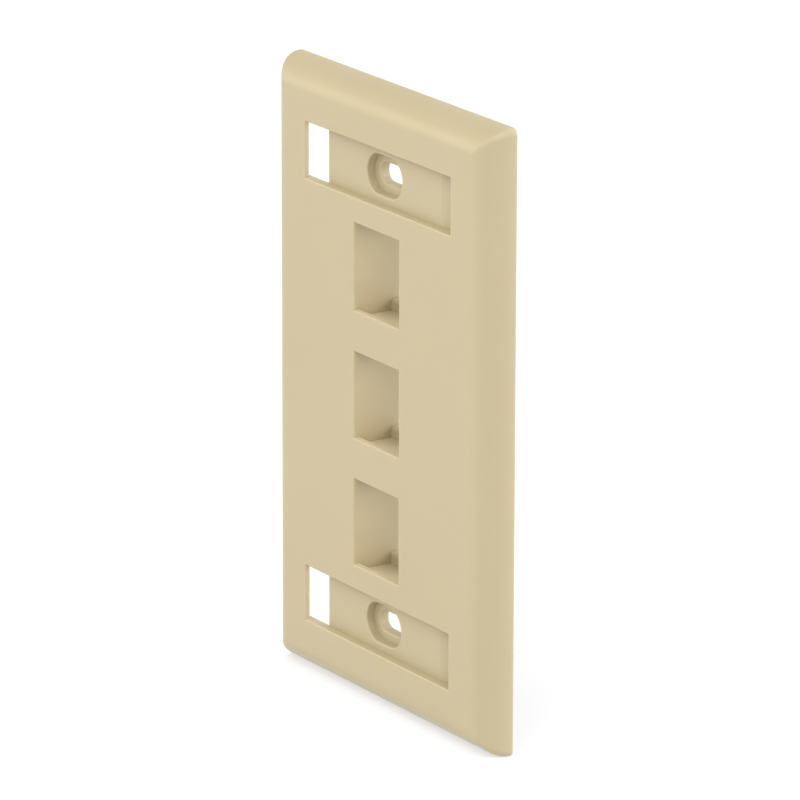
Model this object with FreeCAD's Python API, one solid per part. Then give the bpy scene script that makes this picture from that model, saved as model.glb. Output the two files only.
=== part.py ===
import FreeCAD, Part
import math
import os

from FreeCAD import Vector

# Single-gang wall plate for three snap-in jacks, moulded in one piece.
# Millimetres. X runs across the plate, Z up, and the front faces -Y.
# The origin lies in the plane of the wall, midway between the two screws.

# Outline of the plate
plate_width = 69.85
plate_height = 114.3
plate_depth = 6.2
wall = 1.8

# Rolled edge, mitred at the corners: from the face through a blend, a sloped band and a wider
# blend to the narrow flat of the rim that is left at the wall
band_setback = 3.35
face_blend = 3.4
rim_land = 0.35
corner_softening = 1.2

# Screw slots, each in a sunk seat for the screw's head
screw_spacing = 83.3
slot_length = 7.6
slot_width = 3.85
seat_length = 11.3
seat_width = 7.3
seat_depth = 1.7
seat_floor = 1.9
boss_wall = 1.7

# Label recesses, each with a window at one end for the tab of a label cover
recess_length = 46.8
recess_height = 10.4
recess_depth = 1.7
tray_floor = 1.9
tray_border = 1.9
pry_ramp_length = 5.0
pry_ramp_drop = 1.0
window_length = 5.4
tab_lip = 0.95
tab_pocket = 1.6

# Jack ports
port_count = 3
port_pitch = 23.75
port_width = 14.6
port_height = 16.1
port_lip = 1.05
cavity_drop = 1.3
cavity_rise = 2.1
housing_wall = 1.2
housing_depth = 9.9

# Bars at the back of each port that hold the jack's fixed hook and its latch
bar_thickness = 1.85
sill_bar_height = 2.2
catch_bar_height = 1.0
bar_nose_radius = 0.6
bar_lead_in = 0.45

# Softened edges of the openings in the face, the recess floors and the seat floors
opening_softening = 0.3

# Overrun of a cutting solid past the surface that it cuts
overrun = 1.0

# Points along an edge that are tried when the mitres are looked for
mitre_samples = 5

# Planes and places that follow from the sizes
face_y = -plate_depth
half_width = plate_width / 2
half_height = plate_height / 2
recess_left = -recess_length / 2
recess_right = recess_length / 2
window_right = recess_left + window_length
recess_floor_y = face_y + recess_depth
tray_back_y = recess_floor_y + tray_floor
seat_floor_y = recess_floor_y + seat_depth
boss_back_y = seat_floor_y + seat_floor
housing_back_y = face_y + housing_depth
screw_heights = [screw_spacing / 2, -screw_spacing / 2]
column_top = port_pitch * (port_count - 1) / 2
port_heights = [column_top - port_pitch * index for index in range(port_count)]

# Flats of the face beside the openings, which the roundings must leave room on
land_above_recess = half_height - band_setback - (screw_spacing + recess_height) / 2
land_beside_recess = half_width - band_setback - recess_length / 2
land = min(land_above_recess, land_beside_recess)
port_span = port_pitch * (port_count - 1) + port_height
bridge = min((screw_spacing - recess_height - port_span) / 2, port_pitch - port_height)

# Roundings: a blend between two flats that meet at 45 degrees takes reach x its radius of each
reach = math.tan(math.pi / 8)
band_length = band_setback * math.sqrt(2)
top_blend = min(face_blend, land / 2 / reach)
side_blend = min((plate_depth - band_setback - rim_land) / reach, band_length / reach - top_blend)
softening = min(opening_softening, land / 4, bridge / 3)


# Shared shapes

def block(x_span, y_span, z_span):
    """A box given by its two ends along each axis."""
    corner = Vector(x_span[0], y_span[0], z_span[0])
    sizes = [span[1] - span[0] for span in (x_span, y_span, z_span)]
    return Part.makeBox(sizes[0], sizes[1], sizes[2], corner)


def rounded_outline(corners):
    """A closed wire through (point, radius) corners, sharp where the radius is zero."""
    arcs = []
    for index, (point, radius) in enumerate(corners):
        back = (corners[index - 1][0] - point).normalize()
        ahead = (corners[(index + 1) % len(corners)][0] - point).normalize()
        half_angle = back.getAngle(ahead) / 2
        inward = (back + ahead).normalize()
        reach = radius / math.tan(half_angle)
        crown = point + inward * (radius / math.sin(half_angle) - radius)
        arcs.append((point + back * reach, crown, point + ahead * reach, radius))
    edges = []
    for index, (start, crown, end, radius) in enumerate(arcs):
        following = arcs[(index + 1) % len(arcs)][0]
        if radius > 0:
            edges.append(Part.Arc(start, crown, end).toShape())
        if end.distanceToPoint(following) > 1e-6:
            edges.append(Part.makeLine(end, following))
    return Part.Wire(edges)


def obround(length, width, centre_z, y_span):
    """A bar with round ends, long along X, that fills y_span."""
    sides = [(-1, -1), (1, -1), (1, 1), (-1, 1)]
    corners = [
        (Vector(side_x * length / 2, y_span[0], centre_z + side_z * width / 2), width / 2)
        for side_x, side_z in sides]
    return Part.Face(rounded_outline(corners)).extrude(Vector(0, y_span[1] - y_span[0], 0))


# Outer form and hollow back

def rolled_section(place, half, top_y, base_y, setback, top_blend, side_blend):
    """Section across a flat-topped form with sloped bands; place(across, y) gives a point."""
    corners = [
        (place(-half, base_y), 0),
        (place(-half, top_y + setback), side_blend),
        (place(-half + setback, top_y), top_blend),
        (place(half - setback, top_y), top_blend),
        (place(half, top_y + setback), side_blend),
        (place(half, base_y), 0)]
    return Part.Face(rounded_outline(corners))


def rolled_solid(half_x, half_z, *profile):
    """A rectangular form whose rolled edges meet in mitres at its four corners."""
    across = rolled_section(lambda u, y: Vector(u, y, -half_z), half_x, *profile)
    upright = rolled_section(lambda u, y: Vector(-half_x, y, u), half_z, *profile)
    standing = across.extrude(Vector(0, 0, 2 * half_z))
    lying = upright.extrude(Vector(2 * half_x, 0, 0))
    return standing.common(lying)


def lies_on_mitre(edge):
    """True for an edge that runs up a corner, as far from one side as from the other."""
    return all(
        abs((half_width - abs(point.x)) - (half_height - abs(point.z))) < 1e-6
        for point in edge.discretize(mitre_samples))


def plate_blank():
    """The plate's outer form, solid, with its mitres and its rim corners softened."""
    blank = rolled_solid(
        half_width, half_height, face_y, 0, band_setback, top_blend, side_blend)
    return blank.makeFillet(
        corner_softening, [edge for edge in blank.Edges if lies_on_mitre(edge)])


def hollow_back():
    """The space behind the face, open to the wall, that leaves one even wall all round."""
    inner_setback = band_setback - wall * (2 - math.sqrt(2))
    return rolled_solid(
        half_width - wall, half_height - wall, face_y + wall, overrun, inner_setback,
        max(top_blend - wall, 0), max(side_blend - wall, 0))


# Label recesses and screw seats

def tray_pad(centre_z):
    """Raised pad behind a label recess, with the boss round its screw seat."""
    half_tray = recess_height / 2 + tray_border
    tray = block(
        (window_right, recess_right + tray_border), (face_y + wall / 2, tray_back_y),
        (centre_z - half_tray, centre_z + half_tray))
    boss = obround(
        seat_length + 2 * boss_wall, seat_width + 2 * boss_wall, centre_z,
        (face_y + wall / 2, boss_back_y))
    return tray.fuse(boss)


def label_recess(centre_z):
    """The sunk floor for a label, which dips at its right end where a nail prises the cover."""
    low_z = centre_z - recess_height / 2
    ramp_foot_y = recess_floor_y + pry_ramp_drop
    corners = [
        (recess_left, face_y - overrun), (recess_right, face_y - overrun),
        (recess_right, ramp_foot_y), (recess_right - pry_ramp_length, recess_floor_y),
        (recess_left, recess_floor_y)]
    outline = rounded_outline([(Vector(x, y, low_z), 0) for x, y in corners])
    return Part.Face(outline).extrude(Vector(0, 0, recess_height))


def tab_window(centre_z):
    """The window at the recess's left end, and the pocket behind its lip for a cover's tab."""
    span_z = (centre_z - recess_height / 2, centre_z + recess_height / 2)
    window = block((recess_left, window_right), (face_y - overrun, overrun), span_z)
    pocket = block(
        (recess_left - tab_pocket, window_right), (face_y + tab_lip, overrun), span_z)
    return window.fuse(pocket)


def screw_seat(centre_z):
    """The sunk seat of one screw's head and the slot through its floor."""
    seat = obround(seat_length, seat_width, centre_z, (face_y - overrun, seat_floor_y))
    slot = obround(slot_length, slot_width, centre_z, (face_y - overrun, overrun))
    return seat.fuse(slot)


# Jack ports

def cavity_span(centre_z):
    """Lowest and highest height of a port's cavity behind its lip."""
    return (
        centre_z - port_height / 2 - cavity_drop,
        centre_z + port_height / 2 + cavity_rise)


def port_column():
    """The housings as one tower, open between them unless they stand so close that they meet."""
    half_outer = port_width / 2 + housing_wall
    spans = [cavity_span(centre_z) for centre_z in port_heights]
    tower = block(
        (-half_outer, half_outer), (face_y + wall / 2, housing_back_y),
        (spans[-1][0] - housing_wall, spans[0][1] + housing_wall))
    for upper, lower in zip(spans, spans[1:]):
        gap = (lower[1] + housing_wall, upper[0] - housing_wall)
        if gap[1] > gap[0]:
            tower = tower.cut(block(
                (-port_width / 2, port_width / 2), (face_y + wall, housing_back_y + overrun), gap))
    return tower


def port_cavity(centre_z):
    """The opening in the face and the taller cavity behind its lip."""
    half = port_width / 2
    opening = block(
        (-half, half), (face_y - overrun, face_y + port_lip + overrun),
        (centre_z - port_height / 2, centre_z + port_height / 2))
    cavity = block(
        (-half, half), (face_y + port_lip, housing_back_y + overrun), cavity_span(centre_z))
    return opening.fuse(cavity)


def latch_bar(root_z, tip_z):
    """A bar across a port's back: rounded at its front tip, sloped at its rear tip."""
    front_y = housing_back_y - bar_thickness
    corners = [
        (front_y, root_z, 0), (front_y, tip_z, bar_nose_radius),
        (housing_back_y - bar_lead_in, tip_z, 0),
        (housing_back_y, tip_z - math.copysign(bar_lead_in, tip_z - root_z), 0),
        (housing_back_y, root_z, 0)]
    start_x = -port_width / 2 - housing_wall / 2
    outline = rounded_outline([(Vector(start_x, y, z), radius) for y, z, radius in corners])
    return Part.Face(outline).extrude(Vector(port_width + housing_wall, 0, 0))


def port_bars(centre_z):
    """The sill bar under a jack's fixed hook and the catch bar over its latch."""
    floor_z, ceiling_z = cavity_span(centre_z)
    sink = housing_wall / 2
    sill = latch_bar(floor_z - sink, floor_z + sill_bar_height)
    catch = latch_bar(ceiling_z + sink, ceiling_z - catch_bar_height)
    return [sill, catch]


# Assembly of the moulding

def rims_at(plate, plane_y):
    """Edges round the openings that break through the flats at one depth."""
    edges = []
    for face in plate.Faces:
        box = face.BoundBox
        if isinstance(face.Surface, Part.Plane) and max(
                abs(box.YMin - plane_y), abs(box.YMax - plane_y)) < 1e-6:
            for wire in face.Wires:
                if not wire.isSame(face.OuterWire):
                    edges.extend(wire.Edges)
    return edges


def soften_openings(plate):
    """Round the front edges of the ports, the recesses, the screw seats and the slots."""
    edges = []
    for plane_y in (face_y, recess_floor_y, seat_floor_y):
        edges.extend(rims_at(plate, plane_y))
    return plate.makeFillet(softening, edges)


def faceplate():
    """The whole moulding as one solid."""
    plate = plate_blank().cut(hollow_back())
    plate = plate.fuse([tray_pad(centre_z) for centre_z in screw_heights])
    plate = plate.fuse(port_column())
    for centre_z in screw_heights:
        plate = plate.cut([
            label_recess(centre_z), tab_window(centre_z), screw_seat(centre_z)])
    plate = plate.cut([port_cavity(centre_z) for centre_z in port_heights])
    for centre_z in port_heights:
        plate = plate.fuse(port_bars(centre_z))
    return soften_openings(plate.removeSplitter())


os.makedirs("parts", exist_ok=True)
plate = faceplate()
plate.exportStep("parts/faceplate.step")
print("solids", len(plate.Solids), "valid", plate.isValid(), "closed", plate.isClosed())
print("volume mm3", round(plate.Volume, 1))
print("box", plate.BoundBox)
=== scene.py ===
import math

import bpy
from mathutils import Matrix, Vector


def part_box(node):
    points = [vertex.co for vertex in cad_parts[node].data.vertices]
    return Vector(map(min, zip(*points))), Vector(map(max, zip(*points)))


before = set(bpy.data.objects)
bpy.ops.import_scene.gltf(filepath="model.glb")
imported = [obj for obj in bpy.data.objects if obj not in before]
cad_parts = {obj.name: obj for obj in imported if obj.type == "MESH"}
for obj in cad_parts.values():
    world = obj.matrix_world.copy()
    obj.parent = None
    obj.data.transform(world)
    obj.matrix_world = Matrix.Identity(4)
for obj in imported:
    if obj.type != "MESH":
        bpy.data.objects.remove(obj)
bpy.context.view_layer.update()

# Lengths are in metres, but for the lens and its sensor, which are in millimetres. Angles are in
# degrees. The plate stands on its lower edge on the floor, facing -Y.
plate_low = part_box("faceplate")[0]
floor_z = plate_low[2]
face_y = plate_low[1]

# Camera: seen from the plate's right and from above, through a long lens
camera_azimuth = 56.675
camera_elevation = 16.720
camera_roll = 0.140
camera_distance = 1.1646
camera_target = Vector((0.00783, face_y, 0.00280))
camera_lens = 296.81
camera_sensor = 36.0
camera_reach = 50.0

# Studio: a pale floor that is lit through from below, like a light table, and a pale surround
floor_size = 6.0
floor_colour = (0.410, 0.414, 0.420, 1.0)
floor_roughness = 0.9
floor_shine = 0.2
floor_glow_colour = (0.99, 1.0, 1.02, 1.0)
floor_glow = 0.53
surround_colour = (1.0, 1.0, 1.0, 1.0)
surround_strength = 0.55

# Soft lights round the plate, all at one distance: name, angle from the front towards the
# right, angle above the floor, side of the square, power in watts, colour
light_distance = 2.8
lights = (
    ("front_low_left", -50, 15, 1.9, 26.0, (1.0, 0.95, 0.75)),
    ("front_high", 15, 50, 1.8, 30.0, (0.96, 1.0, 1.07)),
    ("front_right", 57, 22, 1.8, 22.5, (1.0, 1.0, 1.0)),
    ("right_high", 45, 65, 1.8, 22.0, (1.0, 1.0, 1.0)),
    ("behind_right", 150, 20, 1.8, 60.0, (0.98, 1.0, 1.03)),
    ("behind_left", -150, 50, 1.8, 12.0, (1.0, 1.0, 1.0)),
)

# Ivory plastic: the two ends of its colour, and the two ends of its roughness as greys
plastic_dark = (0.443, 0.368, 0.224, 1.0)
plastic_light = (0.450, 0.374, 0.228, 1.0)
smoothest = (0.36, 0.36, 0.36, 1.0)
roughest = (0.44, 0.44, 0.44, 1.0)

# Slow drift of colour and roughness: how fine it is, and where its two ends are reached
colour_drift_scale = 30.0
roughness_drift_scale = 120.0
drift_detail = 3.0
drift_start = 0.35
drift_end = 0.65

# Fine grain left by the mould
grain_scale = 2600.0
grain_detail = 2.0
grain_height = 0.000004

# Light passes a little way into the plastic, all its colours equally far
subsurface_share = 0.35
subsurface_reach = 0.0015
subsurface_spread = (1.0, 1.0, 1.0)


def look_along(azimuth, elevation):
    """Unit vector towards the plate's middle, seen from this angle to its right and above it."""
    turn = math.radians(azimuth)
    lift = math.radians(elevation)
    level = math.cos(lift)
    return Vector((-math.sin(turn) * level, math.cos(turn) * level, -math.sin(lift)))


def make_camera():
    """A long lens that looks down on the plate from its right."""
    data = bpy.data.cameras.new("camera")
    data.sensor_width = camera_sensor
    data.sensor_fit = "HORIZONTAL"
    data.lens = camera_lens
    data.clip_end = camera_reach
    camera = bpy.data.objects.new("camera", data)
    bpy.context.scene.collection.objects.link(camera)
    forward = look_along(camera_azimuth, camera_elevation)
    right = forward.cross(Vector((0, 0, 1))).normalized()
    up = right.cross(forward)
    roll = math.radians(camera_roll)
    right_rolled = right * math.cos(roll) + up * math.sin(roll)
    up_rolled = -right * math.sin(roll) + up * math.cos(roll)
    turn = Matrix((right_rolled, up_rolled, -forward)).transposed().to_4x4()
    camera.matrix_world = Matrix.Translation(camera_target - forward * camera_distance) @ turn
    bpy.context.scene.camera = camera


def make_light(name, azimuth, height, side, power, colour):
    """A soft square light aimed at the middle of the plate, which the camera doesn't see."""
    data = bpy.data.lights.new(name, "AREA")
    data.shape = "SQUARE"
    data.size = side
    data.energy = power
    data.color = colour
    light = bpy.data.objects.new(name, data)
    forward = look_along(azimuth, height)
    light.location = -forward * light_distance
    light.rotation_euler = forward.to_track_quat("-Z", "Y").to_euler()
    light.visible_camera = False
    bpy.context.scene.collection.objects.link(light)


def make_surround():
    """An even white surround, which is the backdrop too."""
    world = bpy.data.worlds.new("studio")
    world.use_nodes = True
    background = world.node_tree.nodes["Background"]
    background.inputs["Color"].default_value = surround_colour
    background.inputs["Strength"].default_value = surround_strength
    bpy.context.scene.world = world


def make_floor():
    """A plain pale floor under the plate, which glows a little by itself."""
    half = floor_size / 2
    corners = [
        (-half, -half, floor_z),
        (half, -half, floor_z),
        (half, half, floor_z),
        (-half, half, floor_z),
    ]
    mesh = bpy.data.meshes.new("floor")
    mesh.from_pydata(corners, [], [(0, 1, 2, 3)])
    floor = bpy.data.objects.new("floor", mesh)
    bpy.context.scene.collection.objects.link(floor)
    material = bpy.data.materials.new("floor_paper")
    material.use_nodes = True
    shader = material.node_tree.nodes["Principled BSDF"]
    shader.inputs["Base Color"].default_value = floor_colour
    shader.inputs["Roughness"].default_value = floor_roughness
    shader.inputs["Specular IOR Level"].default_value = floor_shine
    shader.inputs["Emission Color"].default_value = floor_glow_colour
    shader.inputs["Emission Strength"].default_value = floor_glow
    mesh.materials.append(material)


def drift(tree, place, scale, low, high):
    """A slow random change across the surface between two colours."""
    noise = tree.nodes.new("ShaderNodeTexNoise")
    noise.inputs["Scale"].default_value = scale
    noise.inputs["Detail"].default_value = drift_detail
    ramp = tree.nodes.new("ShaderNodeValToRGB")
    ramp.color_ramp.elements[0].position = drift_start
    ramp.color_ramp.elements[0].color = low
    ramp.color_ramp.elements[1].position = drift_end
    ramp.color_ramp.elements[1].color = high
    tree.links.new(place, noise.inputs["Vector"])
    tree.links.new(noise.outputs["Fac"], ramp.inputs["Fac"])
    return ramp.outputs["Color"]


def moulded_plastic():
    """Ivory thermoplastic: satin, with a fine moulded grain and a faint drift of colour."""
    material = bpy.data.materials.new("moulded_ivory")
    material.use_nodes = True
    tree = material.node_tree
    shader = tree.nodes["Principled BSDF"]
    place = tree.nodes.new("ShaderNodeTexCoord").outputs["Object"]
    colour = drift(tree, place, colour_drift_scale, plastic_dark, plastic_light)
    tree.links.new(colour, shader.inputs["Base Color"])
    roughness = drift(tree, place, roughness_drift_scale, smoothest, roughest)
    tree.links.new(roughness, shader.inputs["Roughness"])
    grain = tree.nodes.new("ShaderNodeTexNoise")
    grain.inputs["Scale"].default_value = grain_scale
    grain.inputs["Detail"].default_value = grain_detail
    bump = tree.nodes.new("ShaderNodeBump")
    bump.inputs["Distance"].default_value = grain_height
    tree.links.new(place, grain.inputs["Vector"])
    tree.links.new(grain.outputs["Fac"], bump.inputs["Height"])
    tree.links.new(bump.outputs["Normal"], shader.inputs["Normal"])
    shader.inputs["Subsurface Weight"].default_value = subsurface_share
    shader.inputs["Subsurface Radius"].default_value = subsurface_spread
    shader.inputs["Subsurface Scale"].default_value = subsurface_reach
    return material


make_camera()
make_surround()
make_floor()
for light in lights:
    make_light(*light)
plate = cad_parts["faceplate"]
plate.data.materials.clear()
plate.data.materials.append(moulded_plastic())
bpy.context.scene.view_settings.view_transform = "Standard"
